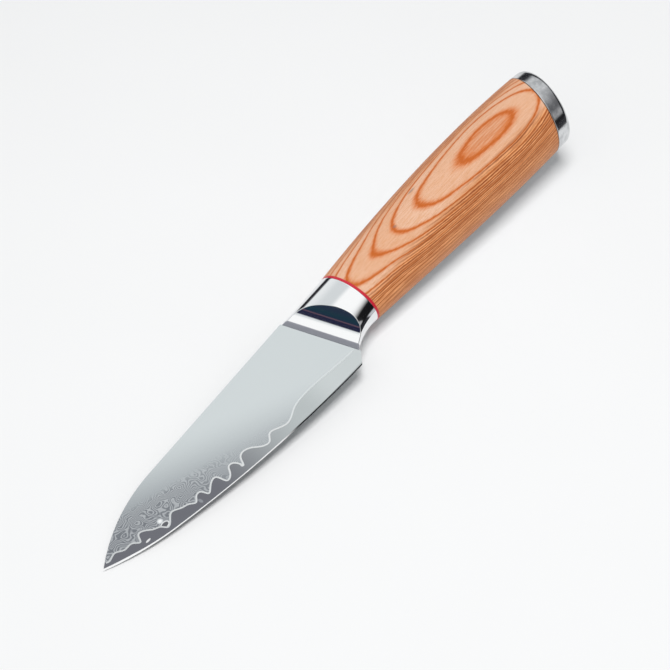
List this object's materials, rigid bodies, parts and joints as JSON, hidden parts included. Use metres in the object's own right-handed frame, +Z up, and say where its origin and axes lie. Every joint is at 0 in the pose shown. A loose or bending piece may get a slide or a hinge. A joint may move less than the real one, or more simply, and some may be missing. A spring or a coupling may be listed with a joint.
{
  "type": "paring knife",
  "caption": "Paring knife with a three-layer ground blade, a polished steel bolster ground to a slanted cove, a red liner, an oval laminated-wood grip and a slanted steel end cap.",
  "frame": {"origin": "middle of the underside of the knife's bounding box, with the knife laid on its right side as on a table", "axes": "+X from the tip to the butt, +Y from the cutting edge to the spine, +Z up from the table, out of the left face"},
  "size_m": [0.2024, 0.0298, 0.0229],
  "materials": {
    "core_steel": "acid-darkened hard core steel with a bright honed bevel",
    "layered_steel": "fine satin with a faint etched layer figure",
    "polished_steel": "mirror polish",
    "red_fibre": "polished vulcanised fibre",
    "laminated_wood": "resin-filled laminated wood, satin polish",
    "satin_steel": "satin",
    "mild_steel": "as drawn"
  },
  "bodies": {
    "root": {"blade_core": "core_steel", "left_cladding": "layered_steel", "right_cladding": "layered_steel", "bolster": "polished_steel", "front_liner": "red_fibre", "grip": "laminated_wood", "end_cap": "satin_steel", "tang_rod": "mild_steel"}
  },
  "joints": []
}
